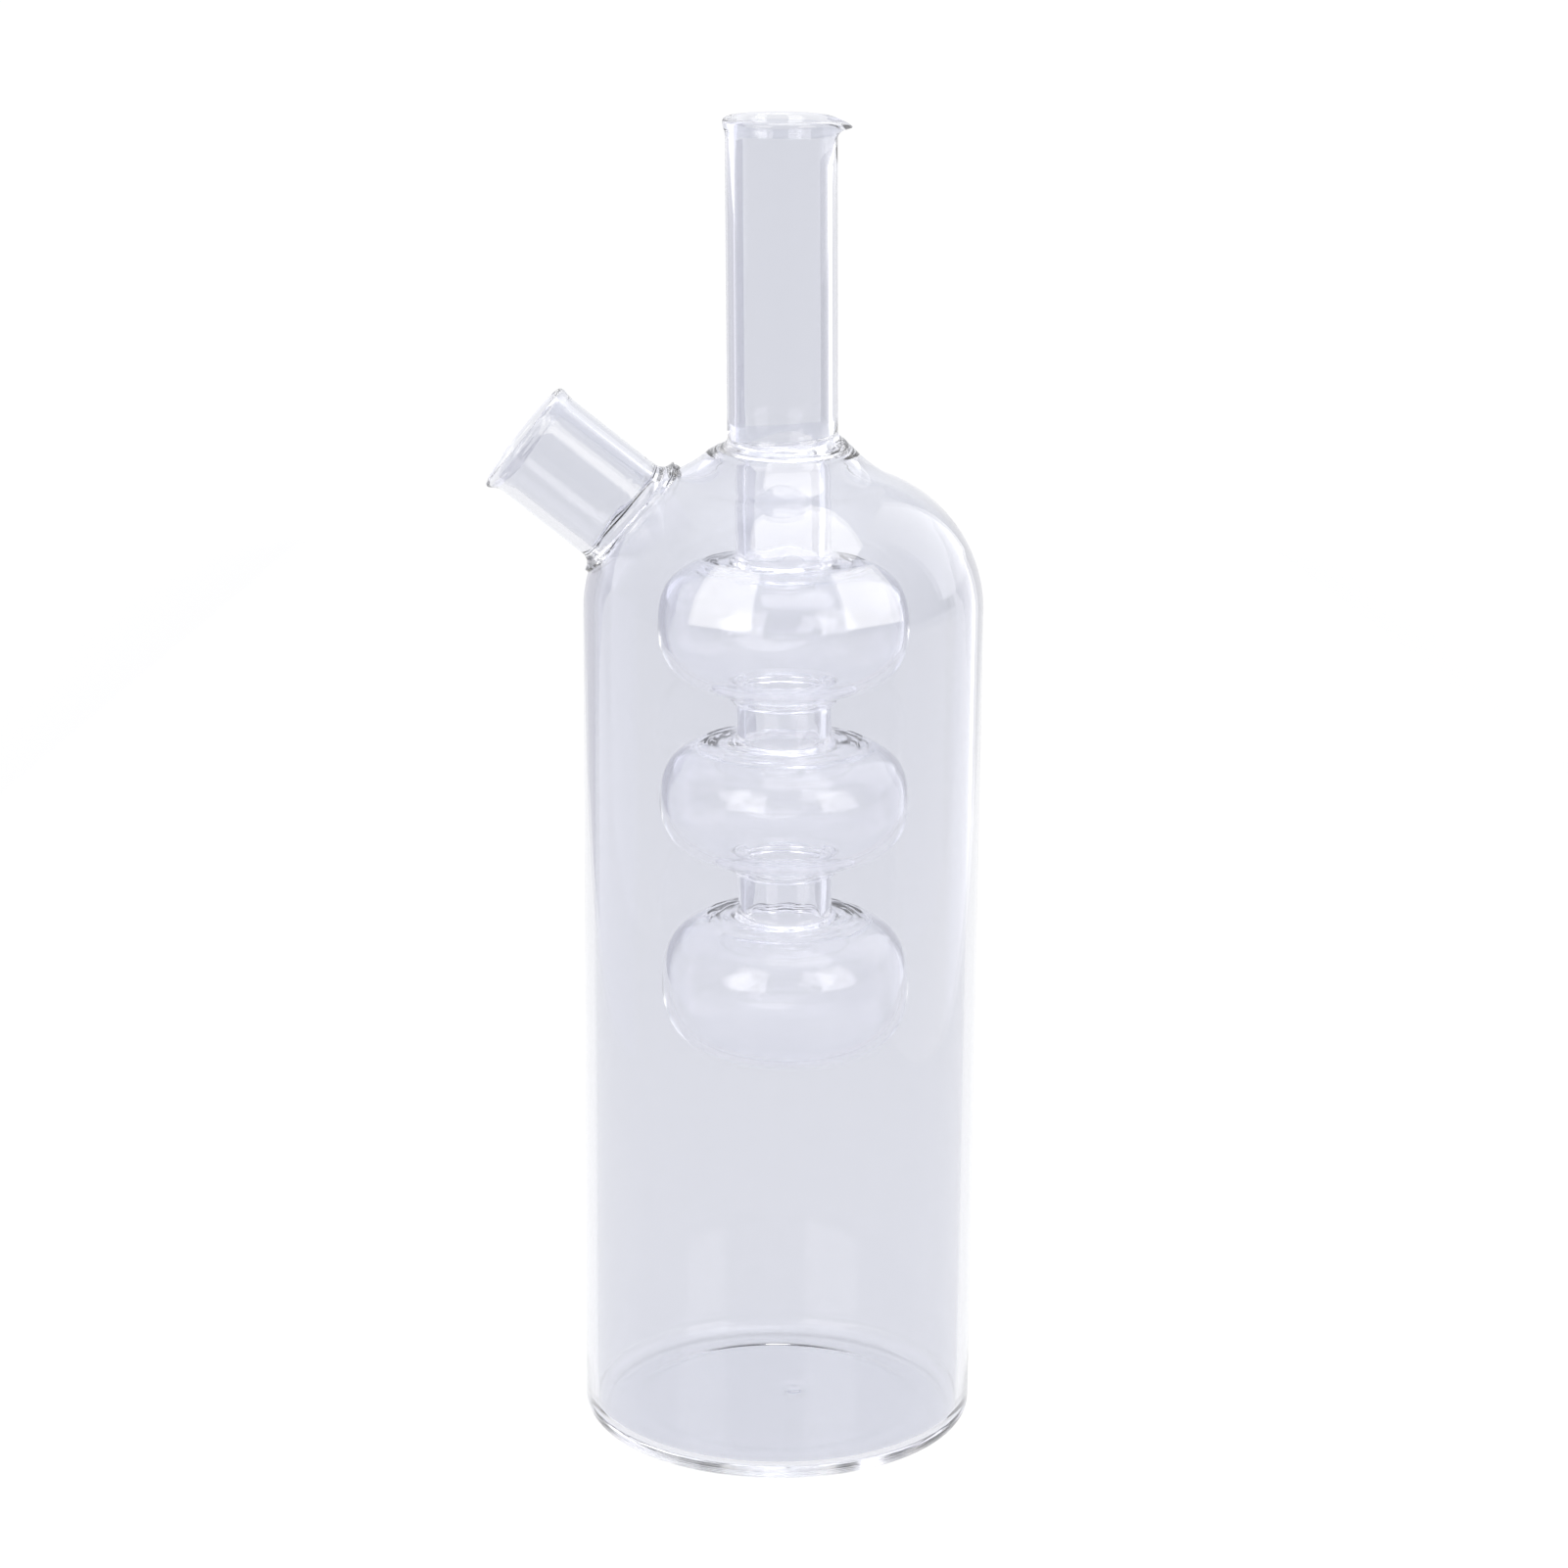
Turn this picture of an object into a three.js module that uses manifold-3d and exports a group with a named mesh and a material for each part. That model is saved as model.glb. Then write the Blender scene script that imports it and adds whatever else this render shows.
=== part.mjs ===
// Dual oil and vinegar dispenser: a glass bottle with a second glass vessel hanging inside it.
// The outer vessel pours from a short slanted spout, the inner one from the tall neck.
// Millimetres, +Z up. The origin is on the body's axis, on the surface the bottle stands on.
// The side spout points to -X, and the pouring lip on the neck to +X.

import * as THREE from 'three';
import { mergeVertices } from 'three/addons/utils/BufferGeometryUtils.js';
import Module from 'manifold-3d';

const wasm = await Module();
wasm.setup();

// Outer vessel
const bodyDiameter = 80;
const bodyWall = 2.2;
const straightTop = 171.5;
const floorThickness = 2.5;
const pushUpHeight = 1.2;
const pushUpDiameter = 54;
const pushUpSlope = 3;
const heelRadius = 3.5;
const shoulderHeight = 28.5;
const crownInset = 3.7;
const flareRun = 3.7;
const flareRise = 3.5;

// Neck, sealed to the shoulder and to the stem inside
const neckDiameter = 22;
const neckWall = 1.8;
const neckLength = 62.3;
const neckSealDiameter = 30.4;
const neckSealHeight = 4.2;
const rimRound = 0.9;
const rimFlare = 0.5;
const rimCrest = 0.6;
const neckLipReach = 2.6;
const neckLipDrop = 1.35;

// Side spout on the shoulder
const spoutDiameter = 22;
const spoutWall = 1.8;
const spoutLength = 25;
const spoutElevation = 38.5;
const spoutSeatAngle = 44;
const spoutSealDiameter = 26.8;
const spoutSealHeight = 4.5;
const spoutLipReach = 1.8;
const spoutLipDrop = 0.4;

// Inner vessel: a stem and three bulbs on short links
const stemDiameter = 19;
const stemWall = 2;
const stemLength = 19.6;
const bulbDiameter = 50.4;
const bulbWall = 1.5;
const bulbMouthDiameter = 22.6;
const bulbTopFullness = 3;
const bulbBottomFullness = 2.6;
const upperBulbHeight = 28.2;
const middleBulbHeight = 26.6;
const lowerBulbHeight = 31;
const bulbSealRise = 2.6;
const bulbSealThickness = 1.5;
const bulbStub = 0.3;
const upperLinkLength = 6.2;
const lowerLinkLength = 7.4;
const linkSealHeight = 1.6;
const linkSealBulge = 1.1;

// Pulled lips: how far down the wall and how far round the rim the glass is drawn out
const lipDepth = 4;
const lipSpread = 24 * Math.PI / 180;

// Running gap of a piece that is cut to fit a curved or slanted neighbour
const fitGap = 0.3;

// Segments round the axis
const bodySegments = 48;
const tubeSegments = 32;
const curveSteps = 6;

const bodyRadius = bodyDiameter / 2;
const neckRadius = neckDiameter / 2;
const spoutRadius = spoutDiameter / 2;
const stemRadius = stemDiameter / 2;
const stemBore = stemRadius - stemWall;
const bulbRadius = bulbDiameter / 2;
const neckSealRadius = neckSealDiameter / 2;
const spoutSealRadius = spoutSealDiameter / 2;
const bulbMouthRadius = bulbMouthDiameter / 2;
const heelTop = floorThickness + heelRadius;

const point = (r, z) => new THREE.Vector2(r, z);

const glassColor = 0xdfe2ec;

function glass() {
  return new THREE.MeshStandardMaterial({
    color: glassColor, roughness: 0.04, metalness: 0, transparent: true, opacity: 0.35,
  });
}

// Revolves a profile of (radius, height) points about +Z. It runs up the outside and down the inside.
function revolve(profile, segments) {
  const closed = profile[0].x < 1e-6 ? profile : [...profile, profile[0]];
  return new THREE.LatheGeometry(closed, segments).rotateX(Math.PI / 2);
}

// The same curve moved to its left by a distance, square to the curve at each point.
function offset(curve, distance) {
  return curve.map((p, i) => {
    const before = curve[Math.max(i - 1, 0)];
    const after = curve[Math.min(i + 1, curve.length - 1)];
    const along = after.clone().sub(before).normalize();
    return point(p.x - along.y * distance, p.y + along.x * distance);
  });
}

function arc(centerR, centerZ, radiusR, radiusZ, startAngle, endAngle, steps = curveSteps) {
  return Array.from({ length: steps + 1 }, (_, i) => {
    const angle = THREE.MathUtils.lerp(startAngle, endAngle, i / steps);
    return point(centerR + radiusR * Math.cos(angle), centerZ + radiusZ * Math.sin(angle));
  });
}

function bend(start, corner, end, steps = 4) {
  return new THREE.QuadraticBezierCurve(start, corner, end).getPoints(steps);
}

function withoutNormals(geometry) {
  geometry.deleteAttribute('normal');
  geometry.deleteAttribute('uv');
  return mergeVertices(geometry, 1e-4);
}

function toSolid(geometry) {
  const merged = withoutNormals(geometry);
  return new wasm.Manifold(new wasm.Mesh({
    numProp: 3,
    vertProperties: new Float32Array(merged.attributes.position.array),
    triVerts: new Uint32Array(merged.index.array),
  }));
}

function toGeometry(solid) {
  const mesh = solid.getMesh();
  const geometry = new THREE.BufferGeometry();
  geometry.setAttribute('position', new THREE.BufferAttribute(mesh.vertProperties, 3));
  geometry.setIndex(new THREE.BufferAttribute(mesh.triVerts, 1));
  return geometry;
}

const dispenser = new THREE.Group();

function addPiece(name, geometry, parent = dispenser) {
  const piece = new THREE.Mesh(geometry, glass());
  piece.name = name;
  parent.add(piece);
  return piece;
}

// Draws the rim out into a lip on the side that `towards` names, by an angle about +Z.
function pullLip(geometry, rimZ, wallRadius, towards, reach, drop) {
  const position = geometry.attributes.position;
  const p = new THREE.Vector3();
  for (let i = 0; i < position.count; i += 1) {
    p.fromBufferAttribute(position, i);
    const rise = THREE.MathUtils.smoothstep(p.z, rimZ - lipDepth, rimZ);
    const turn = Math.atan2(p.y, p.x) - towards;
    const away = Math.atan2(Math.sin(turn), Math.cos(turn)) / lipSpread;
    const pull = rise * Math.exp(-away * away);
    const radius = Math.hypot(p.x, p.y);
    const scale = (radius + reach * pull) / radius;
    const height = p.z - drop * pull * rise * radius / wallRadius;
    position.setXYZ(i, p.x * scale, p.y * scale, height);
  }
  return geometry;
}

// A tube from z = bottom to z = top. Its rim flares a little and is fire-polished round, with a flat crest.
function rimmedTube(radius, wall, bottom, top) {
  const bore = radius - wall;
  const crest = radius - wall / 2;
  const lip = radius + rimFlare;
  const profile = [
    point(bore, bottom),
    point(radius, bottom),
    ...bend(point(radius, top - lipDepth), point(radius, top - lipDepth / 2), point(lip, top - rimRound), 2),
    ...bend(point(lip, top - rimRound), point(lip, top), point(crest + rimCrest / 2, top), 2).slice(1),
    ...bend(point(crest - rimCrest / 2, top), point(bore, top), point(bore, top - rimRound), 2),
    point(bore, top - lipDepth),
  ];
  return revolve(profile, tubeSegments);
}

function plainTube(radius, wall, bottom, top) {
  const bore = radius - wall;
  return revolve([point(bore, bottom), point(radius, bottom), point(radius, top), point(bore, top)],
    tubeSegments);
}

// A flame seal: it widens from a tube's end above to the rim of the shell that it stands on.
function sealRing(z, rise, edge, shellRadius, lowerBore, tubeRadius, tubeBore) {
  const outside = bend(point(shellRadius, z), point(tubeRadius, z + edge), point(tubeRadius, z + rise));
  const inside = bend(point(tubeBore, z + rise), point(lowerBore, z + rise / 2), point(lowerBore, z), 2);
  return revolve([...outside, ...inside], tubeSegments);
}

// Outer shape of a bulb about its own middle, as two super-ellipse halves, from the lower pole up.
function bulbCurve(height) {
  const steps = 2 * curveSteps;
  return Array.from({ length: steps + 1 }, (_, i) => {
    const angle = THREE.MathUtils.lerp(-Math.PI / 2, Math.PI / 2, i / steps);
    const fullness = angle < 0 ? bulbBottomFullness : bulbTopFullness;
    const across = Math.abs(Math.cos(angle)) ** (2 / fullness);
    const up = Math.sign(angle) * Math.abs(Math.sin(angle)) ** (2 / fullness);
    return point(bulbRadius * across, height / 2 * up);
  });
}

// Where a curve passes a radius (axis 'x') or a height (axis 'y'), between its points i and i + 1.
function crossing(curve, i, axis, value) {
  const [from, to] = [curve[i], curve[i + 1]];
  const share = (value - from[axis]) / (to[axis] - from[axis]);
  return from.clone().lerp(to, share);
}

// A blown bulb: a flat rim round its mouth on top and, unless it is closed, a short stub below.
function bulb(height, isClosed) {
  const outside = bulbCurve(height);
  const inside = offset(outside, bulbWall);
  const mouthAt = inside.findIndex((p, i) => p.y > 0 && inside[i + 1].x < bulbMouthRadius);
  const mouth = crossing(inside, mouthAt, 'x', bulbMouthRadius);
  const rimAt = outside.findIndex((p, i) => p.y > 0 && outside[i + 1].y > mouth.y);
  const rim = crossing(outside, rimAt, 'y', mouth.y);
  const stubBottom = -height / 2 - bulbStub;
  let outer = outside.slice(0, rimAt + 1);
  let inner = inside.slice(0, mouthAt + 1).reverse();
  if (isClosed) {
    outer[0] = point(0, outer[0].y);
    inner[inner.length - 1] = point(0, inner[inner.length - 1].y);
  } else {
    const stubAt = outside.findIndex((p, i) => outside[i + 1].x > stemRadius);
    const boreAt = inside.findIndex((p, i) => inside[i + 1].x > stemBore);
    outer = [point(stemBore, stubBottom), point(stemRadius, stubBottom),
      crossing(outside, stubAt, 'x', stemRadius), ...outside.slice(stubAt + 1, rimAt + 1)];
    inner = [...inside.slice(boreAt + 1, mouthAt + 1).reverse(), crossing(inside, boreAt, 'x', stemBore)];
  }
  return {
    profile: [...outer, rim, mouth, ...inner],
    rimZ: mouth.y,
    rimRadius: rim.x,
    bottomZ: isClosed ? -height / 2 : stubBottom,
  };
}

// Base: the floor is pushed up inside its foot ring, and turns up into the wall at the heel.
const pushUpRadius = pushUpDiameter / 2;
const footRadius = bodyRadius - heelRadius;
addPiece('base', revolve([
  point(0, pushUpHeight),
  point(pushUpRadius, pushUpHeight),
  point(pushUpRadius + pushUpSlope, 0),
  ...arc(footRadius, heelRadius, heelRadius, heelRadius, -Math.PI / 2, 0, 4),
  point(bodyRadius, heelTop),
  ...arc(bodyRadius - bodyWall - heelRadius, heelTop, heelRadius, heelRadius, 0, -Math.PI / 2, 4),
  point(pushUpRadius + pushUpSlope, floorThickness),
  point(pushUpRadius, floorThickness + pushUpHeight),
  point(0, floorThickness + pushUpHeight),
], bodySegments));

addPiece('body_wall', revolve([
  point(bodyRadius - bodyWall, heelTop),
  point(bodyRadius, heelTop),
  point(bodyRadius, straightTop),
  point(bodyRadius - bodyWall, straightTop),
], bodySegments));

// Shoulder: a quarter ellipse in from the wall, then a flare up to the neck seal.
const crownRadius = neckSealRadius - crownInset;
const shoulderReach = bodyRadius - crownRadius;
const flareStart = Math.acos((neckSealRadius + flareRun - crownRadius) / shoulderReach);
const dome = arc(crownRadius, straightTop, shoulderReach, shoulderHeight, 0, flareStart, 8);
const domeEnd = dome[dome.length - 1];
const sealBase = domeEnd.y + flareRise;
const domeSlope = (shoulderHeight / shoulderReach) / Math.tan(flareStart);
const flare = bend(
  domeEnd,
  point(neckSealRadius, domeEnd.y + domeSlope * (domeEnd.x - neckSealRadius)),
  point(neckSealRadius, sealBase),
);
const shoulderOutside = [...dome, ...flare.slice(1)];
const shoulderInside = offset(shoulderOutside, bodyWall);
shoulderInside[0].y = straightTop;
shoulderInside[shoulderInside.length - 1].y = sealBase;
const shoulderShell = revolve([...shoulderOutside, ...shoulderInside.reverse()], bodySegments);

// The side spout's own frame: its +Z runs out along the spout, from where its axis meets the dome.
const seatAngle = THREE.MathUtils.degToRad(spoutSeatAngle);
const seat = new THREE.Vector3(
  -(crownRadius + shoulderReach * Math.cos(seatAngle)),
  0,
  straightTop + shoulderHeight * Math.sin(seatAngle),
);
const spoutTurn = new THREE.Euler(0, THREE.MathUtils.degToRad(spoutElevation - 90), 0);
const spoutFrame = new THREE.Matrix4().compose(
  seat,
  new THREE.Quaternion().setFromEuler(spoutTurn),
  new THREE.Vector3(1, 1, 1),
);
const spoutBore = spoutRadius - spoutWall;

const boreCutter = revolve([
  point(0, -spoutLength),
  point(spoutBore, -spoutLength),
  point(spoutBore, spoutLength),
  point(0, spoutLength),
], tubeSegments).applyMatrix4(spoutFrame);
addPiece('shoulder', toGeometry(toSolid(shoulderShell).subtract(toSolid(boreCutter))));

// Spout seal: a flared ring that sits on the dome round the spout's bore. It starts deep enough to pass
// through the dome all round, and the dome is then cut out of it.
const sealDepth = spoutSealRadius;
const spoutSealRing = revolve([
  point(spoutBore, -sealDepth),
  point(spoutSealRadius, -sealDepth),
  ...bend(point(spoutSealRadius, 0), point(spoutRadius, spoutSealHeight / 2),
    point(spoutRadius, spoutSealHeight)),
  point(spoutBore, spoutSealHeight),
], tubeSegments).applyMatrix4(spoutFrame);
const aroundShoulder = offset(shoulderOutside, -fitGap);
const shoulderBody = revolve([
  point(0, 0),
  point(bodyRadius + fitGap, 0),
  ...aroundShoulder,
  point(0, aroundShoulder[aroundShoulder.length - 1].y),
], bodySegments);
addPiece('spout_seal', toGeometry(toSolid(spoutSealRing).subtract(toSolid(shoulderBody))));

const spoutGroup = new THREE.Group();
spoutGroup.position.copy(seat);
spoutGroup.rotation.copy(spoutTurn);
dispenser.add(spoutGroup);
const spoutTube = rimmedTube(spoutRadius, spoutWall, spoutSealHeight + fitGap, spoutLength);
addPiece('side_spout',
  pullLip(spoutTube, spoutLength, spoutRadius, Math.PI, spoutLipReach, spoutLipDrop), spoutGroup);

// Neck and its seal, which also carries the stem
const neckBottom = sealBase + neckSealHeight;
const neckTop = neckBottom + neckLength;
addPiece('neck_seal', sealRing(sealBase, neckSealHeight, neckSealHeight / 2, neckSealRadius,
  stemBore, neckRadius, neckRadius - neckWall));
const neckTube = rimmedTube(neckRadius, neckWall, neckBottom, neckTop);
addPiece('neck_tube', pullLip(neckTube, neckTop, neckRadius, 0, neckLipReach, neckLipDrop));

// Inner vessel, hung from the neck seal: each piece starts where the one above ends.
let hangZ = sealBase;

function hangTube(name, length) {
  addPiece(name, plainTube(stemRadius, stemWall, hangZ - length, hangZ));
  hangZ -= length;
}

function hangBulb(name, height, isClosed) {
  const shape = bulb(height, isClosed);
  const rimZ = hangZ - bulbSealRise;
  addPiece(`${name}_seal`, sealRing(rimZ, bulbSealRise, bulbSealThickness, shape.rimRadius,
    stemBore, stemRadius, stemBore));
  const middleZ = rimZ - shape.rimZ;
  addPiece(name, revolve(shape.profile, tubeSegments).translate(0, 0, middleZ));
  hangZ = middleZ + shape.bottomZ;
}

function hangBead(name) {
  const bottom = hangZ - linkSealHeight;
  const bulge = point(stemRadius + 2 * linkSealBulge, hangZ - linkSealHeight / 2);
  const outside = bend(point(stemRadius, bottom), bulge, point(stemRadius, hangZ));
  addPiece(name, revolve([point(stemBore, bottom), ...outside, point(stemBore, hangZ)], tubeSegments));
  hangZ = bottom;
}

hangTube('stem_tube', stemLength);
hangBulb('upper_bulb', upperBulbHeight, false);
hangBead('upper_link_seal');
hangTube('upper_link', upperLinkLength);
hangBulb('middle_bulb', middleBulbHeight, false);
hangBead('lower_link_seal');
hangTube('lower_link', lowerLinkLength);
hangBulb('lower_bulb', lowerBulbHeight, true);

export default dispenser;
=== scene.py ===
import math

import bmesh
import bpy
from mathutils import Matrix, Vector, noise
from mathutils.geometry import interpolate_bezier


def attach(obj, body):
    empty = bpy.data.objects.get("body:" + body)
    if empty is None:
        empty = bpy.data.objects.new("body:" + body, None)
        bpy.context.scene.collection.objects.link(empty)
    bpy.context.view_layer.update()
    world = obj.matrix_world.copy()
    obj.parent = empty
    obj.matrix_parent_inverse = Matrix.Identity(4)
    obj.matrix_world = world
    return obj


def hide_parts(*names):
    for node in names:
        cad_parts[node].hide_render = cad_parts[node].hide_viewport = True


# Dual oil and vinegar dispenser: lampworked clear glass, one vessel hanging inside another.
# Shapes are drawn in millimetres and brought to metres when a piece is finished.

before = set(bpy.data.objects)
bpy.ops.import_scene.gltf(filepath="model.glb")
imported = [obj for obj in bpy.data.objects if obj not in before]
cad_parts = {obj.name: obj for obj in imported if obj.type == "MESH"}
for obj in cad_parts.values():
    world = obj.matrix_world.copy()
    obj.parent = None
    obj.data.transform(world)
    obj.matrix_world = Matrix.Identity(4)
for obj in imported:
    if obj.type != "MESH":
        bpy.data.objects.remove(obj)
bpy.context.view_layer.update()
mm = 0.001
merge = 1e-4  # points nearer than this, in millimetres, are one
sharpAngle = 50  # degrees
print("frame loaded:", len(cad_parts), "nodes")


# Shaping

def arcLine(center, radii, startDegrees, endDegrees, count):
    angles = [math.radians(startDegrees + (endDegrees - startDegrees) * i / (count - 1)) for i in range(count)]
    return [(center[0] + radii[0] * math.cos(a), center[1] + radii[1] * math.sin(a)) for a in angles]


def bendLine(start, startHandle, endHandle, end, count):
    knots = [Vector((r, 0, z)) for r, z in (start, startHandle, endHandle, end)]
    return [(p.x, p.z) for p in interpolate_bezier(*knots, count)]


def straightLine(start, end, step):
    a, b = Vector(start), Vector(end)
    count = max(2, round((b - a).length / step) + 1)
    return [tuple(a.lerp(b, i / (count - 1))) for i in range(count)]


def spinProfile(profile, steps):
    # A profile of (radius, height) that starts on the axis stays open, any other is closed into a ring
    bm = bmesh.new()
    line = []
    for r, z in profile:
        if not line or (line[-1].co - Vector((r, 0, z))).length > merge:
            line.append(bm.verts.new((r, 0, z)))
    onAxis = line[0].co.x < merge
    if not onAxis and (line[0].co - line[-1].co).length < merge:
        bm.verts.remove(line.pop())
    ends = line[1:] if onAxis else line[1:] + line[:1]
    edges = [bm.edges.new(pair) for pair in zip(line, ends)]
    bmesh.ops.spin(bm, geom=line + edges, cent=(0, 0, 0), axis=(0, 0, 1), angle=math.tau,
                   steps=steps, use_merge=True, use_duplicate=False)
    bmesh.ops.remove_doubles(bm, verts=bm.verts, dist=merge)
    bmesh.ops.recalc_face_normals(bm, faces=bm.faces)
    bm.normal_update()
    return bm


def smoothStep(low, high, value):
    t = min(max((value - low) / (high - low), 0), 1)
    return t * t * (3 - 2 * t)


def ripple(bm, low, high, fine, coarse, depth, seed):
    # Flame ripples run round the axis: short up and down, long around, and none at either height
    for v in bm.verts:
        if low < v.co.z < high:
            fade = min(1, 6 * (v.co.z - low) * (high - v.co.z) / (high - low) ** 2)
            around = v.co.xy.normalized() * 10 / coarse
            at = Vector((around.x, around.y, (v.co.z - 0.7 * v.co.xy.length) / fine + seed))
            v.co += v.normal * (noise.noise(at) * depth * fade)
    bm.normal_update()


def pullLip(bm, rimZ, wallRadius, towards, reach, drop, spread, depth):
    # The rim is drawn out and a little down towards one side, less and less down to the depth
    for v in bm.verts:
        if v.co.z < rimZ - depth:
            continue
        rise = smoothStep(rimZ - depth, rimZ, v.co.z)
        turn = math.atan2(v.co.y, v.co.x) - towards
        away = math.atan2(math.sin(turn), math.cos(turn)) / math.radians(spread)
        pull = rise * math.exp(-away * away)
        radius = math.hypot(v.co.x, v.co.y)
        grow = (radius + reach * pull) / radius
        v.co = Vector((v.co.x * grow, v.co.y * grow, v.co.z - drop * pull * rise * radius / wallRadius))


def toObject(bm, name):
    mesh = bpy.data.meshes.new(name)
    bm.to_mesh(mesh)
    bm.free()
    piece = bpy.data.objects.new(name, mesh)
    bpy.context.scene.collection.objects.link(piece)
    return piece


def combine(operation, bm, other):
    # Both shapes are used up, and the result comes back
    whole, tool = toObject(bm, "whole"), toObject(other, "tool")
    cut = whole.modifiers.new("combine", "BOOLEAN")
    cut.operation, cut.solver, cut.object = operation, "EXACT", tool
    bpy.context.view_layer.update()
    evaluated = whole.evaluated_get(bpy.context.evaluated_depsgraph_get())
    left = bmesh.new()
    left.from_mesh(evaluated.data)
    for o in (whole, tool):
        mesh = o.data
        bpy.data.objects.remove(o)
        bpy.data.meshes.remove(mesh)
    bmesh.ops.remove_doubles(left, verts=left.verts, dist=merge)
    bmesh.ops.dissolve_degenerate(left, edges=left.edges, dist=merge)
    return left


def finishPiece(name, bm, material, *nodes):
    bmesh.ops.scale(bm, vec=(mm, mm, mm), verts=bm.verts)
    piece = toObject(bm, name)
    piece.data.polygons.foreach_set("use_smooth", [True] * len(piece.data.polygons))
    piece.data.set_sharp_from_angle(angle=math.radians(sharpAngle))
    piece.data.materials.append(material)
    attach(piece, "root")
    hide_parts(*nodes)
    triangles = sum(len(p.vertices) - 2 for p in piece.data.polygons)
    print("made", name, len(piece.data.polygons), "faces,", triangles, "triangles")
    return piece


# Materials

def linearColor(code):
    channels = [int(code[i:i + 2], 16) / 255 for i in (1, 3, 5)]
    return [c / 12.92 if c <= 0.04045 else ((c + 0.055) / 1.055) ** 2.4 for c in channels] + [1]


def addNode(tree, kind, settings={}, inputs={}):
    node = tree.nodes.new(kind)
    for name, value in settings.items():
        setattr(node, name, value)
    for name, value in inputs.items():
        if isinstance(value, bpy.types.NodeSocket):
            tree.links.new(value, node.inputs[name])
        else:
            node.inputs[name].default_value = value
    return node


def newMaterial(name):
    material = bpy.data.materials.new(name)
    material.use_nodes = True
    material.node_tree.nodes.clear()
    return material, material.node_tree


# Borosilicate 3.3 glass: a refractive index of 1.473. The outer tube is toned to the pale lavender grey that it shows
# in the
# photograph. That tone is painted shade: the dim backdrop seen through the glass, laid into the glass's colour. The
# blown inside is clear. Drawn tube has faint waves along its length, blown glass broad soft ones.
glass = {
    "ior": 1.473,
    # The tube's two colours are painted shade, the dim backdrop seen through the glass; the blown glass's are its own
    # clear tone
    "tube": ("#e8e9ee", "#e7e8ed"), "blown": ("#ffffff", "#fdfdff"),
    "shade": "#f4f5f9",
    # Faint smears from handling: their number in a metre and how rough they are
    "smearScale": 60, "smear": (0.0, 0.03),
}


def glassMaterial(name, colors, waveSize, waveStretch, waveDepth):
    material, tree = newMaterial(name)
    place = addNode(tree, "ShaderNodeTexCoord")
    drawn = addNode(tree, "ShaderNodeMapping", {}, {"Vector": place.outputs["Object"], "Scale": waveStretch})
    waves = addNode(tree, "ShaderNodeTexNoise", {}, {"Vector": drawn.outputs["Vector"], "Detail": 1,
                    "Scale": 1 / (waveSize * mm)})
    bump = addNode(tree, "ShaderNodeBump", {}, {"Height": waves.outputs["Fac"], "Strength": 1,
                   "Distance": waveDepth * mm})
    tint = addNode(tree, "ShaderNodeMix", {"data_type": "RGBA"}, {"Factor": waves.outputs["Fac"],
                   6: linearColor(colors[0]), 7: linearColor(colors[1])})
    smears = addNode(tree, "ShaderNodeTexNoise", {}, {"Vector": place.outputs["Object"], "Detail": 3,
                     "Scale": glass["smearScale"]})
    polish = addNode(tree, "ShaderNodeMapRange", {}, {"Value": smears.outputs["Fac"], "From Min": 0.45,
                     "From Max": 0.7, "To Min": glass["smear"][0], "To Max": glass["smear"][1]})
    shell = addNode(tree, "ShaderNodeBsdfPrincipled", {}, {"Base Color": tint.outputs[2],
                    "Roughness": polish.outputs["Result"], "IOR": glass["ior"], "Transmission Weight": 1,
                    "Normal": bump.outputs["Normal"]})
    letThrough = addNode(tree, "ShaderNodeBsdfTransparent", {}, {"Color": linearColor(glass["shade"])})
    path = addNode(tree, "ShaderNodeLightPath")
    mix = addNode(tree, "ShaderNodeMixShader", {}, {0: path.outputs["Is Shadow Ray"], 1: shell.outputs["BSDF"],
                  2: letThrough.outputs["BSDF"]})
    addNode(tree, "ShaderNodeOutputMaterial", {}, {"Surface": mix.outputs["Shader"]})
    return material


# Each one's colours, and its waves' size, stretch and depth, in millimetres
# The drawn tube's tint is painted shade: the dim backdrop seen through the glass, not the glass's own colour
drawnTubePaintedShade = glassMaterial("borosilicate_drawn_tube_painted_shade", glass["tube"], 3, (1, 1, 0.02), 0.006)
blownGlass = glassMaterial("borosilicate_blown", glass["blown"], 12, (1, 1, 1), 0.02)
print("materials made")


# Hand work: the neck and the inner vessel lean a little from the body's axis, about one height
lean = {"slope": -0.0125, "pivot": 172}


def leanBy(bm, low=None, high=None):
    for v in bm.verts:
        share = 1 if low is None else smoothStep(low, high, v.co.z)
        v.co.x += lean["slope"] * (v.co.z - lean["pivot"]) * share


# A fire-polished rim: from the tube's outside, over the top and to its inside
rimHeight = 4


def rimLine(radius, wall, top, flare):
    bore, lip, half = radius - wall, radius + flare, wall / 2
    return (
        bendLine((radius, top - rimHeight), (radius, top - 2.2), (lip, top - 2), (lip, top - half), 14)
        + bendLine((lip, top - half), (lip, top - half * 0.45), (lip - half * 0.55, top), (lip - half, top), 12)
        + bendLine((lip - half, top), (bore + half * 0.4, top), (bore, top - half * 0.45), (bore, top - half), 12)
    )


# Outer vessel: base, wall, shoulder, neck, side spout and their seals in one shell, because the real one is one glass

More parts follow.
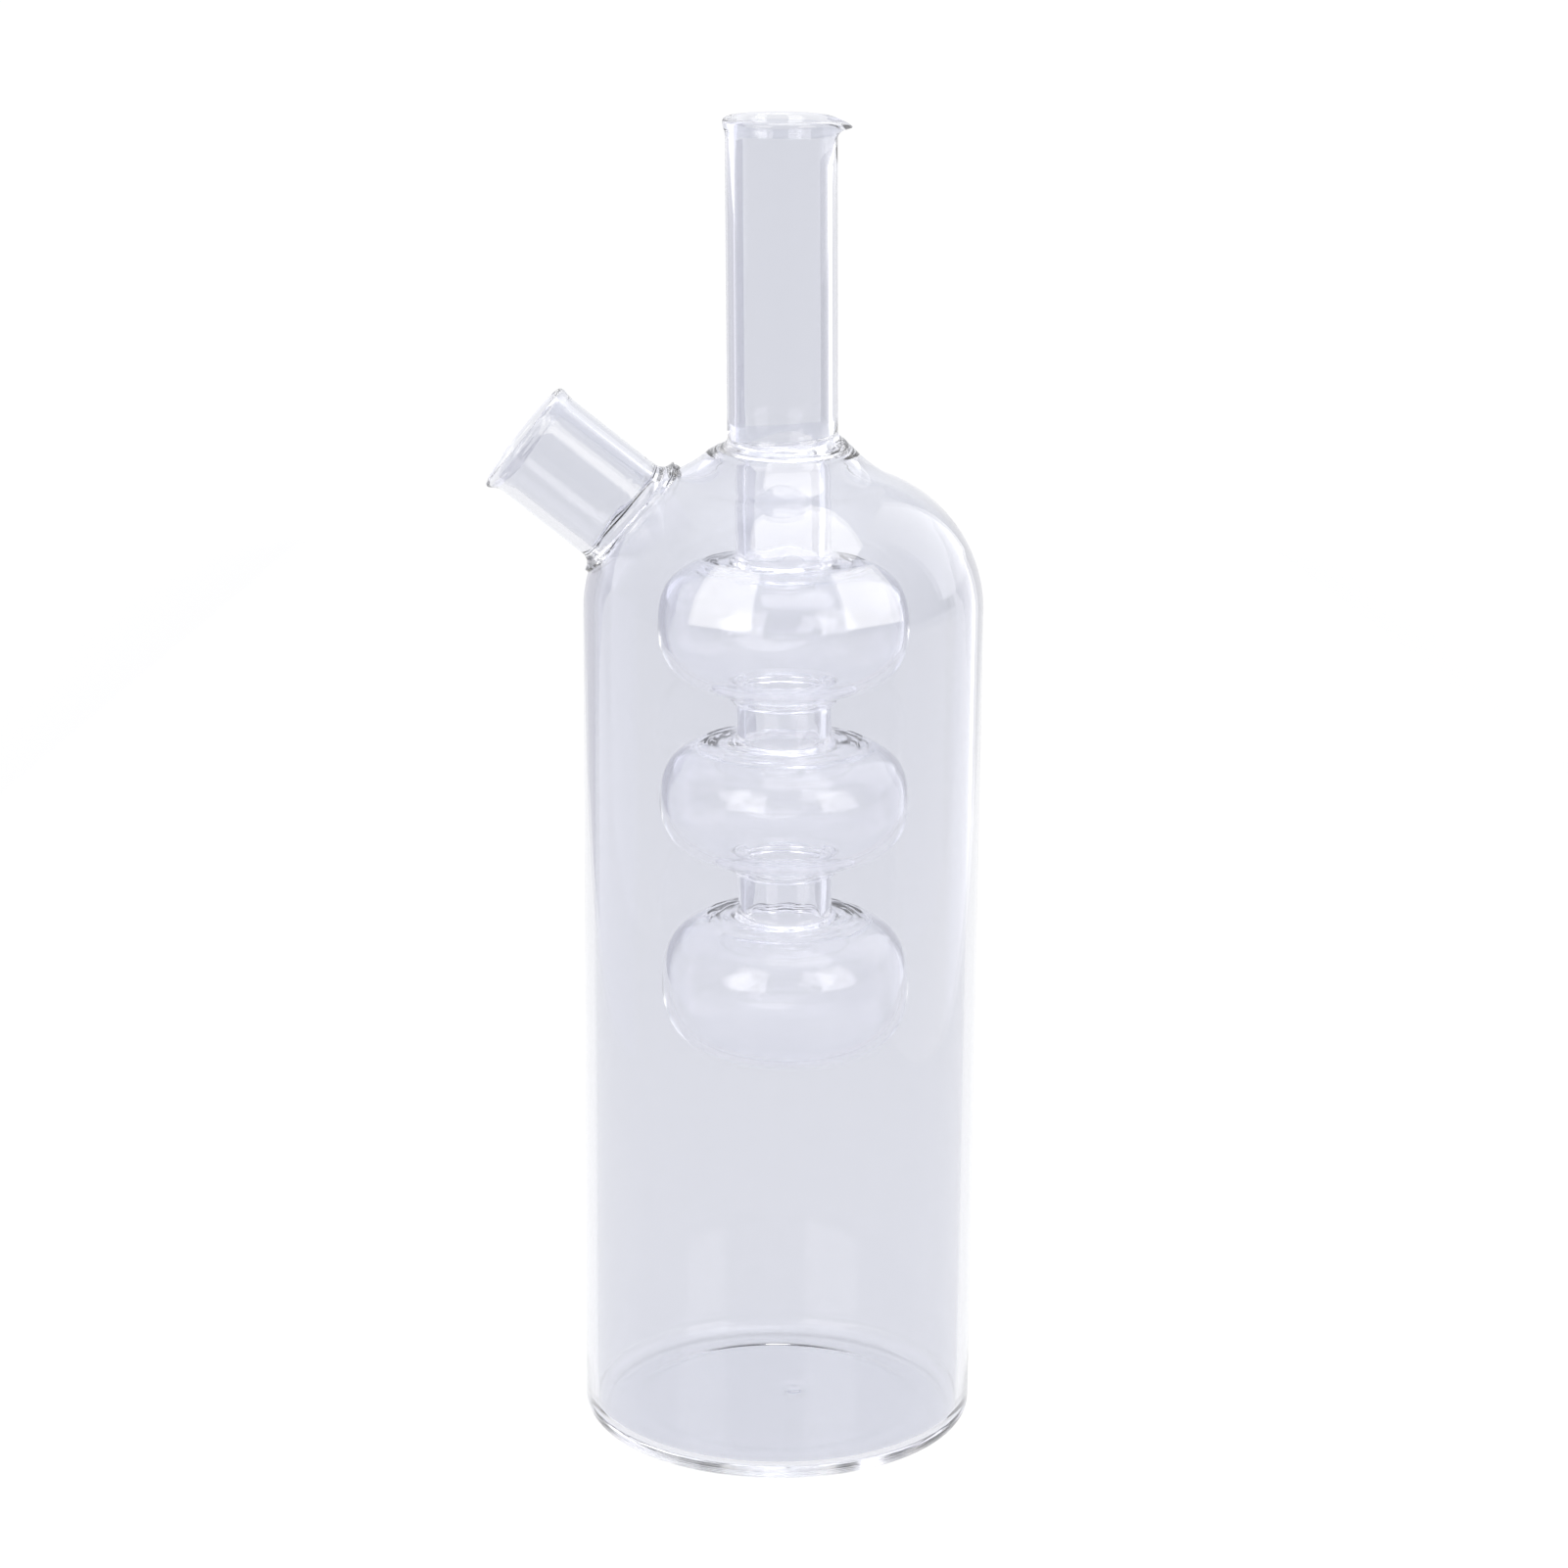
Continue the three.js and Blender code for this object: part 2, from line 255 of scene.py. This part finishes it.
outer = {
    "radius": 40, "wall": 2.2, "heel": 4.0, "heelInside": 3.1, "straightTop": 171.5, "floor": 2.5,
    "pushUp": 0.3, "pushUpFrom": 32, "pushUpTo": 26,
    "crown": 11.5, "domeEnd": 68.4, "sealRadius": 15.3, "sealBase": 202.52, "sealBore": 13.0, "sealTop": 206.7,
    "neckRadius": 11, "neckWall": 1.8, "neckTop": 269.02, "stemRadius": 9.5, "stemBore": 7.5,
    # The weld of neck and seal is a faint line, a little askew
    "weldDepth": 0.1, "weldWidth": 0.35, "weldSlope": 0.07, "weldReach": 4,
    "rimFlare": 0.5, "lipReach": 2.6, "lipDrop": 1.35, "lipSpread": 20, "lipDepth": 4,
    # The shoulder is fuller between spout and neck
    "saddleAt": (-24.5, 0, 196.2), "saddleSize": 7.5, "saddleRise": 1.5,
    # The little scar of the rod in the middle of the floor, and the fine mesh around it
    "pipRadius": 1.7, "pipHeight": 0.5, "pipPlace": (3.5, 4.5), "pipRoom": 8,
    # How long, how wide and how deep the neck seal's ripples are, and where in the noise they start
    "ripple": (1.0, 6, 0.08, 9.3),
    "leanFrom": 185, "wallStep": 8, "tubeStep": 4, "steps": 224,
}


def outerProfile(o):
    reach, inner = o["radius"] - o["crown"], o["radius"] - o["crown"] - o["wall"]
    bore, heelTop = o["radius"] - o["wall"], o["floor"] + o["heelInside"]
    foot, slope = o["radius"] - o["heel"], (o["pushUpFrom"] - o["pushUpTo"]) / 2
    domeEdge = arcLine((o["crown"], o["straightTop"]), (reach, reach), 0, o["domeEnd"], 40)
    domeInside = arcLine((o["crown"], o["straightTop"]), (inner, inner), o["domeEnd"], 0, 34)
    edgeR, edgeZ = domeEdge[-1]
    insideR, insideZ = domeInside[0]
    rise, base, seal = o["floor"] + o["pushUp"], o["sealBase"], o["sealRadius"]
    neck, neckBore, weld = o["neckRadius"], o["neckRadius"] - o["neckWall"], o["sealTop"]
    return (
        straightLine((0, o["pushUp"]), (o["pipRoom"], o["pushUp"]), 0.8)
        + straightLine((o["pipRoom"], o["pushUp"]), (o["pushUpTo"], o["pushUp"]), 3)
        + bendLine((o["pushUpTo"], o["pushUp"]), (o["pushUpTo"] + slope, o["pushUp"]),
                   (o["pushUpFrom"] - slope, 0), (o["pushUpFrom"], 0), 16)
        + arcLine((foot, o["heel"]), (o["heel"], o["heel"]), -90, 0, 20)
        + straightLine((o["radius"], o["heel"]), (o["radius"], o["straightTop"]), o["wallStep"])
        + domeEdge
        + bendLine((edgeR, edgeZ), (edgeR - 2.2, edgeZ + 0.87), (seal + 1.6, base - 1.2), (seal, base + 0.2), 14)
        + bendLine((seal, base + 0.2), (seal - 0.2, base + 0.5), (seal - 0.5, base + 0.7),
                   (seal - 0.8, base + 0.95), 5)
        + bendLine((seal - 0.8, base + 0.95), (neck + 1.4, base + 2.7), (neck, weld - 1), (neck, weld), 20)
        + bendLine((neck, weld), (neck - o["weldDepth"], weld + o["weldWidth"] * 0.3),
                   (neck - o["weldDepth"], weld + o["weldWidth"] * 0.7), (neck, weld + o["weldWidth"]), 7)
        + straightLine((neck, weld + o["weldWidth"]), (neck, o["neckTop"] - rimHeight), o["tubeStep"])
        + rimLine(neck, o["neckWall"], o["neckTop"], o["rimFlare"])
        + straightLine((neckBore, o["neckTop"] - o["neckWall"] / 2), (neckBore, weld), o["tubeStep"])
        + bendLine((neckBore, weld), (neckBore, weld - 1.4), (o["stemBore"], base + 2.2),
                   (o["stemBore"], base), 16)
        + straightLine((o["stemBore"], base), (o["stemRadius"], base), 0.6)
        + bendLine((o["stemRadius"], base), (o["stemRadius"] + 0.4, base + 0.9),
                   (o["sealBore"] - 0.4, base + 0.9), (o["sealBore"], base), 12)
        + bendLine((o["sealBore"], base), (o["sealBore"], base - 1.6), (insideR - 3.2, insideZ + 1.27),
                   (insideR, insideZ), 14)
        + domeInside
        + straightLine((bore, o["straightTop"]), (bore, heelTop), o["wallStep"])
        + arcLine((bore - o["heelInside"], heelTop), (o["heelInside"], o["heelInside"]), 0, -90, 14)
        + bendLine((o["pushUpFrom"], o["floor"]), (o["pushUpFrom"] - slope, o["floor"]),
                   (o["pushUpTo"] + slope, rise), (o["pushUpTo"], rise), 16)
        + straightLine((o["pushUpTo"], rise), (o["pipRoom"], rise), 3)
        + straightLine((o["pipRoom"], rise), (0, rise), 0.4)
    )


# The side spout's own frame: its +Z runs out along the spout from the point where its axis meets the dome
spout = {
    "seat": (-32.25, 0, 190.985), "turn": -51.5,
    "radius": 11.4, "wall": 2, "length": 25, "sealHeight": 4.5,
    "fillet": 2.2, "filletToNeck": 2.7, "sunk": 0.9, "ringSize": 1.4, "ringDepth": 0.06,
    "rimFlare": 0.4, "lipReach": 1.1, "lipDrop": 0.4, "lipSpread": 20, "lipDepth": 4,
    # How far the tube starts inside the dome, and the bore too, and how far under the rim the tube is stopped
    "root": 12, "boreRoot": 14, "stopDepth": 5, "tubeStep": 4, "steps": 192,
    # The dome that trims the tube's root starts at this height
    "domeFoot": 149,
}
spoutFrame = Matrix.Translation(spout["seat"]) @ Matrix.Rotation(math.radians(spout["turn"]), 4, "Y")


def placeSpout(bm):
    bmesh.ops.transform(bm, matrix=spoutFrame, verts=bm.verts)
    bm.normal_update()


def saddleLift(o, place):
    # How much higher the shoulder is here than a plain dome
    away = (place - Vector(o["saddleAt"])).length / o["saddleSize"]
    return o["saddleRise"] * math.exp(-away * away)


def makeSpout(o, s):
    # A stopped tube whose side swells into a fillet where it nears the dome. Its foot ends inside the dome's glass
    radius, seal, top, stop = s["radius"], s["sealHeight"], s["length"], s["length"] - s["stopDepth"]
    plug = spinProfile([(0, -s["root"])] + straightLine((radius, -s["root"]), (radius, seal), 0.25)
                       + straightLine((radius, seal), (radius, top - rimHeight), s["tubeStep"])
                       + rimLine(radius, s["wall"], top, s["rimFlare"])
                       + [(radius - s["wall"] + 0.01, stop), (0, stop)], s["steps"])
    pullLip(plug, top, radius, math.pi, s["lipReach"], s["lipDrop"], s["lipSpread"], s["lipDepth"])
    placeSpout(plug)
    toNeck, seat, axis = (spoutFrame.col[i].xyz for i in (0, 3, 2))
    for v in plug.verts:
        along = (v.co - seat).dot(axis)
        away = v.co - seat - axis * along
        if away.length < s["radius"] - 1:
            continue
        lift = math.hypot(math.hypot(v.co.x, v.co.y) - o["crown"], v.co.z - o["straightTop"])
        share = max(away.normalized().dot(toNeck), 0) ** 2
        fillet = s["fillet"] + (s["filletToNeck"] - s["fillet"]) * share
        lift = min(max(lift - (o["radius"] - o["crown"]) - saddleLift(o, v.co), 0), fillet)
        swell = fillet - math.sqrt(fillet ** 2 - (fillet - lift) ** 2)
        fade = smoothStep(s["sealHeight"], s["sealHeight"] - 1, along)
        ring = noise.noise(Vector((away.normalized().y * 2, away.normalized().z * 2, along / s["ringSize"])))
        v.co += away.normalized() * (swell + ring * s["ringDepth"] * fade)
    sunk = outerProfile(dict(o, radius=o["radius"] - s["sunk"]))
    foot = next(i for i, p in enumerate(sunk) if p[1] > o["sealBase"])
    filled = [p for p in sunk[:foot] if p[1] > s["domeFoot"] + 1][::3]
    dome = spinProfile([(0, s["domeFoot"]), (o["radius"] - s["sunk"], s["domeFoot"])] + filled
                       + [(0, filled[-1][1])], 64)
    return combine("DIFFERENCE", plug, dome)


def makeOuter():
    o, s = outer, spout
    bm = spinProfile(outerProfile(o), o["steps"])
    pip = Vector((*o["pipPlace"], 0))
    for v in bm.verts:
        if v.co.z < o["floor"] + 2 * o["pushUp"] and v.co.xy.length < o["pushUpTo"]:
            away = (v.co.xy - pip.xy).length / o["pipRadius"]
            top = v.co.z > o["floor"]
            v.co.z += o["pipHeight"] * math.exp(-away * away) * (1 if top else -0.5)
    ripple(bm, o["sealBase"] - 0.5, o["sealTop"] - 0.3, *o["ripple"])
    for v in bm.verts:
        near = smoothStep(o["weldReach"], 0, abs(v.co.z - o["sealTop"]))
        v.co.z += o["weldSlope"] * v.co.x * near
    pullLip(bm, o["neckTop"], o["neckRadius"], 0, o["lipReach"], o["lipDrop"], o["lipSpread"], o["lipDepth"])
    for v in bm.verts:
        v.co.z += saddleLift(o, v.co)
    leanBy(bm, o["leanFrom"], o["sealBase"])
    bm = combine("UNION", bm, makeSpout(o, s))
    width, top = s["radius"] - s["wall"], s["length"] - s["stopDepth"] + 0.5
    bore = spinProfile([(0, -s["boreRoot"]), (width, -s["boreRoot"]), (width, top), (0, top)], s["steps"])
    placeSpout(bore)
    bm = combine("DIFFERENCE", bm, bore)
    return finishPiece("outer_vessel", bm, drawnTubePaintedShade, "base", "body_wall", "shoulder", "neck_seal",
                       "neck_tube", "spout_seal", "side_spout")


makeOuter()


# Inner vessel: stem and three blown bulbs on short links, melted to each other into one glass

inner = {
    "tubeRadius": 9.5, "tubeBore": 7.5, "top": 202.5,
    "bulbRadius": 25.2, "bulbWall": 1.5, "topHandle": 0.784, "bottomHandle": 0.72,
    "foot": 12.5, "footBore": 10.5, "mouth": 11.3, "beadBulge": 1.1, "beadPinch": 0.3,
    "topRipple": (1.1, 5, 0.22), "beadRipple": (0.9, 5, 0.1),
    # From the lowest up: each bulb's middle and height, the rim of its flat top, and the tube above and its bead
    "bulbs": {
        "lower_bulb": {"middle": 93.51, "height": 31, "rim": 106.93, "top": 109.53, "bead": (116.93, 118.53)},
        "middle_bulb": {"middle": 132.13, "height": 26.6, "rim": 143.44, "top": 146.04, "bead": (152.24, 153.84)},
        "upper_bulb": {"middle": 168.19, "height": 28.2, "rim": 180.32, "top": 182.92, "bead": None},
    },
    "steps": 160,
}


def bulbLine(radius, halfHeight, handle, middle, sign, count=30):
    return bendLine((radius, middle), (radius, middle + sign * halfHeight * handle),
                    (radius * handle, middle + sign * halfHeight), (0, middle + sign * halfHeight), count)


def partUntil(line, radius=None, height=None):
    # The points of a line up to a radius or a height, and the point between that meets it
    kept = [line[0]]
    for p in line[1:]:
        last = kept[-1]
        value, before = (p[0], last[0]) if radius is not None else (p[1], last[1])
        limit = radius if radius is not None else height
        if (before - limit) * (value - limit) <= 0:
            share = (limit - before) / (value - before)
            return kept + [(last[0] + (p[0] - last[0]) * share, last[1] + (p[1] - last[1]) * share)]
        kept.append(p)
    return kept


def innerProfile(t):
    # The outside runs from the lowest point up, and the inside is gathered the same way and turned round
    outside, inside = [], []
    radius, wall, tube, bore = t["bulbRadius"], t["bulbWall"], t["tubeRadius"], t["tubeBore"]
    bead = None
    for b in t["bulbs"].values():
        half, middle, rim, top = b["height"] / 2, b["middle"], b["rim"], b["top"]
        low = bulbLine(radius, half, t["bottomHandle"], middle, -1)
        lowInside = bulbLine(radius - wall, half - wall, t["bottomHandle"], middle, -1)
        if bead:
            low, lowInside = partUntil(low, radius=t["foot"]), partUntil(lowInside, radius=t["footBore"])
            out, pinch = tube + 1.33 * t["beadBulge"], bore - 1.33 * t["beadPinch"]
            outside += bendLine((tube, bead[0]), (out, bead[0] + 0.1), (out, bead[1] - 0.1),
                                (tube + 0.3, bead[1] + 0.1), 12)
            outside += bendLine((tube + 0.3, bead[1] + 0.1), (tube + 0.5, bead[1] + 0.5),
                                (low[-1][0] - 1.4, low[-1][1] - 0.1), low[-1], 8)
            inside += bendLine((bore, bead[0] - 0.6), (pinch, bead[0] + 0.2), (pinch, bead[1] - 0.1),
                               (bore, bead[1] + 0.6), 8)
            inside += bendLine((bore, bead[1] + 0.6), (bore + 0.4, lowInside[-1][1] + 0.3),
                               (lowInside[-1][0] - 1.4, lowInside[-1][1] - 0.05), lowInside[-1], 8)
        high = partUntil(bulbLine(radius, half, t["topHandle"], middle, 1), height=rim)
        highInside = partUntil(bulbLine(radius - wall, half - wall, t["topHandle"], middle, 1), radius=t["mouth"])
        edge = high[-1][0]
        outside += low[::-1] + high[1:]
        outside += bendLine((edge, rim), (edge - 1.6, rim + 1.0), (tube + 3.5, rim + 0.7),
                            (tube + 1.2, rim + 1.3), 24)
        outside += bendLine((tube + 1.2, rim + 1.3), (tube + 0.3, rim + 1.6), (tube, top - 0.4), (tube, top), 8)
        inside += lowInside[::-1] + highInside[1:]
        inside += bendLine(highInside[-1], (bore + 1.6, highInside[-1][1] + 0.1), (bore, rim - 0.2),
                           (bore, rim + 1), 10)
        bead = b["bead"]
    outside += straightLine((tube, top), (tube, t["top"]), 6)
    inside += straightLine((bore, rim + 1), (bore, t["top"]), 6)
    return outside + straightLine((tube, t["top"]), (bore, t["top"]), 0.7) + inside[::-1]


def makeInner():
    bm = spinProfile(innerProfile(inner), inner["steps"])
    for name, b in inner["bulbs"].items():
        ripple(bm, b["rim"] - 0.4, b["top"], *inner["topRipple"], b["rim"])
        if b["bead"]:
            ripple(bm, b["bead"][0], b["bead"][1] + 0.6, *inner["beadRipple"], b["middle"])
    leanBy(bm)
    finishPiece("inner_vessel", bm, blownGlass, "stem_tube", "upper_bulb_seal", "upper_bulb", "upper_link_seal",
                "upper_link", "middle_bulb_seal", "middle_bulb", "lower_link_seal", "lower_link", "lower_bulb_seal",
                "lower_bulb")


makeInner()
print("glass made")


# Studio: a plain white sweep that the camera and the glass both see, and a pale room with a darker side

studio = {
    "floorSize": 16, "floorDrop": 0.2,
    # The floor's own white, and the colour that takes the light and so shows the shadow
    "white": "#ffffff", "plain": 0.875, "lit": "#5c5c5c",
    # Height of the direction, from straight down at -1 to straight up at 1, and the brightness of the room there
    "room": [(0, 1.0), (0.34, 1.1), (0.71, 1.4), (0.94, 2.3), (1.0, 0.7)],
    "roomTint": "#f6f7fb", "roomGlow": 2.3,
    # The room's dark side: its direction in degrees to the right of the camera, half its width, how far up it
    # reaches and how much of the brightness is missing there
    "darkSide": {"toward": 112, "half": 65, "top": 0.5, "share": 0.55},
}


def brightnessRamp(tree, value, stops, full):
    low, high = stops[0][0], stops[-1][0]
    spread = addNode(tree, "ShaderNodeMapRange", {}, {"Value": value, "From Min": low, "From Max": high})
    ramp = addNode(tree, "ShaderNodeValToRGB", {}, {"Fac": spread.outputs["Result"]})
    elements = ramp.color_ramp.elements
    while len(elements) < len(stops):
        elements.new(0.5)
    for element, (at, level) in zip(elements, stops):
        element.position = (at - low) / (high - low)
        element.color = [level / full] * 3 + [1]
    return ramp.outputs["Color"]


def makeFloor():
    bm = bmesh.new()
    bmesh.ops.create_grid(bm, x_segments=1, y_segments=1, size=studio["floorSize"] / 2)
    bmesh.ops.translate(bm, vec=(0, 0, -studio["floorDrop"] * mm), verts=bm.verts)
    floor = toObject(bm, "studio_floor")
    material, tree = newMaterial("white_sweep")
    path = addNode(tree, "ShaderNodeLightPath")
    seen = path.outputs["Is Camera Ray"]
    for kind in ("Is Glossy Ray", "Is Transmission Ray"):
        either = addNode(tree, "ShaderNodeMath", {"operation": "MAXIMUM"}, {0: seen, 1: path.outputs[kind]})
        seen = either.outputs["Value"]
    strength = addNode(tree, "ShaderNodeMath", {"operation": "MULTIPLY"}, {0: seen, 1: studio["plain"]})
    white = addNode(tree, "ShaderNodeEmission", {}, {"Color": linearColor(studio["white"]),
                    "Strength": strength.outputs["Value"]})
    lit = addNode(tree, "ShaderNodeBsdfDiffuse", {}, {"Color": linearColor(studio["lit"])})
    both = addNode(tree, "ShaderNodeAddShader", {}, {0: white.outputs["Emission"], 1: lit.outputs["BSDF"]})
    addNode(tree, "ShaderNodeOutputMaterial", {}, {"Surface": both.outputs["Shader"]})
    floor.data.materials.append(material)


def makeWorld():
    world = bpy.data.worlds.new("studio")
    world.use_nodes = True
    tree = world.node_tree
    tree.nodes.clear()
    place = addNode(tree, "ShaderNodeTexCoord")
    axes = addNode(tree, "ShaderNodeSeparateXYZ", {}, {"Vector": place.outputs["Generated"]})
    room = brightnessRamp(tree, axes.outputs["Z"], studio["room"], studio["roomGlow"])
    dim = studio["darkSide"]
    back = addNode(tree, "ShaderNodeMath", {"operation": "MULTIPLY"}, {0: axes.outputs["Y"], 1: -1})
    around = addNode(tree, "ShaderNodeMath", {"operation": "ARCTAN2"}, {0: axes.outputs["X"],
                     1: back.outputs["Value"]})
    aside = addNode(tree, "ShaderNodeMath", {"operation": "SUBTRACT"}, {0: around.outputs["Value"],
                    1: math.radians(dim["toward"])})
    turned = addNode(tree, "ShaderNodeMath", {"operation": "WRAP"}, {0: aside.outputs["Value"], 1: math.pi,
                     2: -math.pi})
    apart = addNode(tree, "ShaderNodeMath", {"operation": "ABSOLUTE"}, {0: turned.outputs["Value"]})
    side = addNode(tree, "ShaderNodeMapRange", {}, {"Value": apart.outputs["Value"],
                   "From Min": math.radians(dim["half"]), "From Max": 0, "To Max": dim["share"]})
    low = addNode(tree, "ShaderNodeMapRange", {}, {"Value": axes.outputs["Z"], "From Min": dim["top"], "From Max": 0})
    missing = addNode(tree, "ShaderNodeMath", {"operation": "MULTIPLY"}, {0: side.outputs["Result"],
                      1: low.outputs["Result"]})
    left = addNode(tree, "ShaderNodeMath", {"operation": "SUBTRACT"}, {0: 1, 1: missing.outputs["Value"]})
    share = addNode(tree, "ShaderNodeMath", {"operation": "MULTIPLY"}, {0: room, 1: left.outputs["Value"]})
    strength = addNode(tree, "ShaderNodeMath", {"operation": "MULTIPLY"}, {0: share.outputs["Value"],
                       1: studio["roomGlow"]})
    light = addNode(tree, "ShaderNodeBackground", {}, {"Color": linearColor(studio["roomTint"]),
                    "Strength": strength.outputs["Value"]})
    addNode(tree, "ShaderNodeOutputWorld", {}, {"Surface": light.outputs["Background"]})
    bpy.context.scene.world = world


# Softboxes and cloths. Each stands upright over a line from one place on the table to another, in metres, from
# its lowest edge to its highest, and lights the glass with its brightness and tint
panels = {
    "left_box": {
        "from": (-0.77, -0.55), "to": (-0.29, -0.90), "low": 0.23, "high": 1.25,
        "glow": 4.3, "tint": "#fffcf3",
    },
    "right_box": {
        "from": (0.53, -0.74), "to": (0.93, -0.32), "low": 0.23, "high": 1.12,
        "glow": 4.3, "tint": "#fffcf3",
    },
    "right_low": {
        "from": (0.28, -0.13), "to": (0.28, 0.10), "low": 0, "high": 0.15,
        "glow": 1.25, "tint": "#fefdfb",
    },
    "right_mid": {
        "from": (0.28, 0.10), "to": (0.28, 0.40), "low": 0, "high": 0.2,
        "glow": 1.4, "tint": "#fcfcff",
    },
    "right_far": {
        "from": (0.28, 0.40), "to": (0.2, 0.90), "low": 0, "high": 0.2,
        "glow": 0.82, "tint": "#fcfcff",
    },
    "right_high": {
        "from": (0.285, 0.05), "to": (0.285, 0.50), "low": 0.2, "high": 0.65,
        "glow": 1.75, "tint": "#fefeff",
    },
    "left_mid": {
        "from": (-0.28, 0), "to": (-0.28, 0.25), "low": 0, "high": 0.2,
        "glow": 1.15, "tint": "#f8f8ff",
    },
    "left_far": {
        "from": (-0.28, 0.25), "to": (-0.2, 0.90), "low": 0, "high": 0.2,
        "glow": 0.78, "tint": "#f8f8ff",
    },
    "left_high": {
        "from": (-0.285, 0.10), "to": (-0.285, 0.70), "low": 0.2, "high": 0.6,
        "glow": 1.4, "tint": "#f7f7ff",
    },
}
# The overhead octobox, seen askew, so its corners are uneven: their places above the table, its height and light
overhead = {
    "corners": [(-0.19, -0.22), (-0.125, 0.08), (-0.04, 0.245), (0.043, 0.367), (0.174, 0.292), (0.306, 0.109),
                (0.455, -0.066), (0.475, -0.277), (-0.13, -0.363)],
    "height": 0.85, "glow": 4.4, "tint": "#fffdf8",
}


def makePanel(name, bm, brightness, tint):
    panel = toObject(bm, name)
    material, tree = newMaterial(name + "_cloth")
    glow = addNode(tree, "ShaderNodeEmission", {}, {"Color": linearColor(tint), "Strength": brightness})
    addNode(tree, "ShaderNodeOutputMaterial", {}, {"Surface": glow.outputs["Emission"]})
    panel.data.materials.append(material)
    panel.visible_camera = False


def makePanels():
    for name, p in panels.items():
        start, end = Vector((*p["from"], p["low"])), Vector((*p["to"], p["low"]))
        bm = bmesh.new()
        edge = bmesh.ops.create_vert(bm, co=start)["vert"] + bmesh.ops.create_vert(bm, co=end)["vert"]
        side = bmesh.ops.contextual_create(bm, geom=edge)["edges"]
        raised = bmesh.ops.extrude_edge_only(bm, edges=side)["geom"]
        upper = [v for v in raised if isinstance(v, bmesh.types.BMVert)]
        bmesh.ops.translate(bm, vec=(0, 0, p["high"] - p["low"]), verts=upper)
        makePanel(name, bm, p["glow"], p["tint"])
    bm = bmesh.new()
    corners = [bm.verts.new((x, y, overhead["height"])) for x, y in overhead["corners"]]
    bmesh.ops.contextual_create(bm, geom=corners)
    makePanel("overhead_octobox", bm, overhead["glow"], overhead["tint"])


# Camera: fitted to the outline of the object in the photograph
view = {"at": (0.0004, -0.8196, 0.3544), "down": 14.973, "roll": 0.458, "lens": 96.39, "sensor": 36}
# Light turns many times inside thick glass before it leaves
bounces = {"glass": 48, "clear": 28}


def makeCamera():
    data = bpy.data.cameras.new("camera")
    data.lens, data.sensor_width = view["lens"], view["sensor"]
    camera = bpy.data.objects.new("camera", data)
    pitch = Matrix.Rotation(math.radians(90 - view["down"]), 4, "X")
    roll = Matrix.Rotation(math.radians(view["roll"]), 4, "Z")
    camera.matrix_world = Matrix.Translation(view["at"]) @ pitch @ roll
    bpy.context.scene.collection.objects.link(camera)
    bpy.context.scene.camera = camera


makeFloor()
makeWorld()
makePanels()
makeCamera()
scene = bpy.context.scene
scene.view_settings.view_transform = "Standard"
scene.cycles.max_bounces = bounces["glass"]
scene.cycles.transmission_bounces = bounces["glass"]
scene.cycles.glossy_bounces = bounces["glass"]
scene.cycles.transparent_max_bounces = bounces["clear"]
print("studio set")
